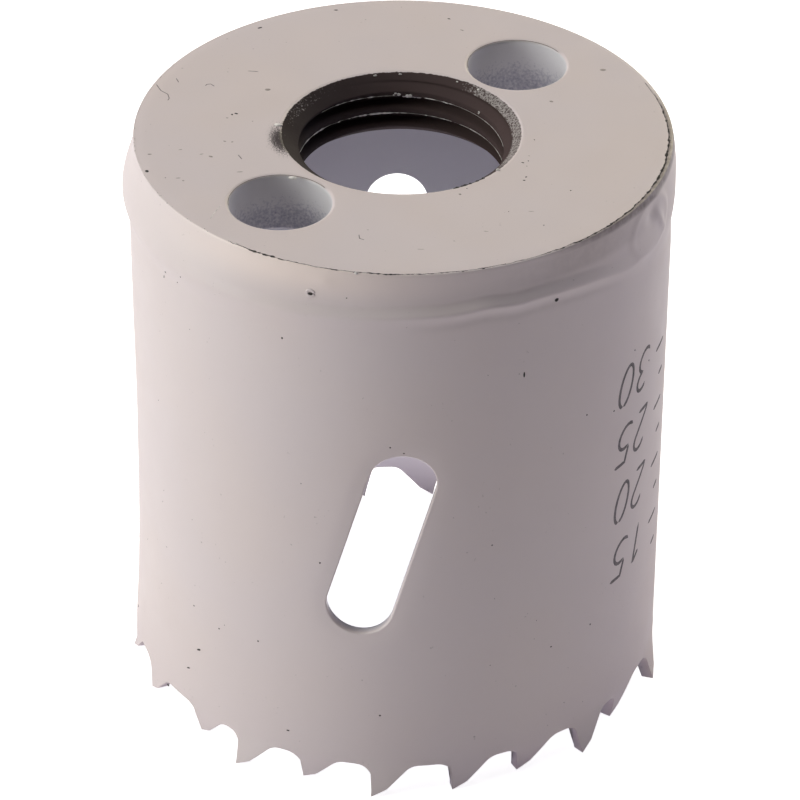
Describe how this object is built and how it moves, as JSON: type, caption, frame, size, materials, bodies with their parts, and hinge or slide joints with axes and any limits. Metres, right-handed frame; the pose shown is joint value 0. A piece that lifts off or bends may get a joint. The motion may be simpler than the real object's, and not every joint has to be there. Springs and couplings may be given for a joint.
{
  "type": "hole saw",
  "caption": "Enamelled bi-metal hole saw: a slotted steel cup with set teeth, a threaded arbor hole and drive-pin holes in its cap.",
  "frame": {"origin": "centre of the drive-pin holes' circle on the cap's outer face, where the arbor thread's axis leaves it", "axes": "+Z along the arbor thread's axis, from the teeth towards the cap; -Y is the front, where one slot is"},
  "size_m": [0.0396, 0.0396, 0.0442],
  "materials": {
    "white_enamel": "satin baked enamel, with small pits and specks"
  },
  "bodies": {
    "root": {"end_cap": "white_enamel", "cup_wall": "white_enamel", "toothed_edge": "white_enamel"}
  },
  "joints": []
}
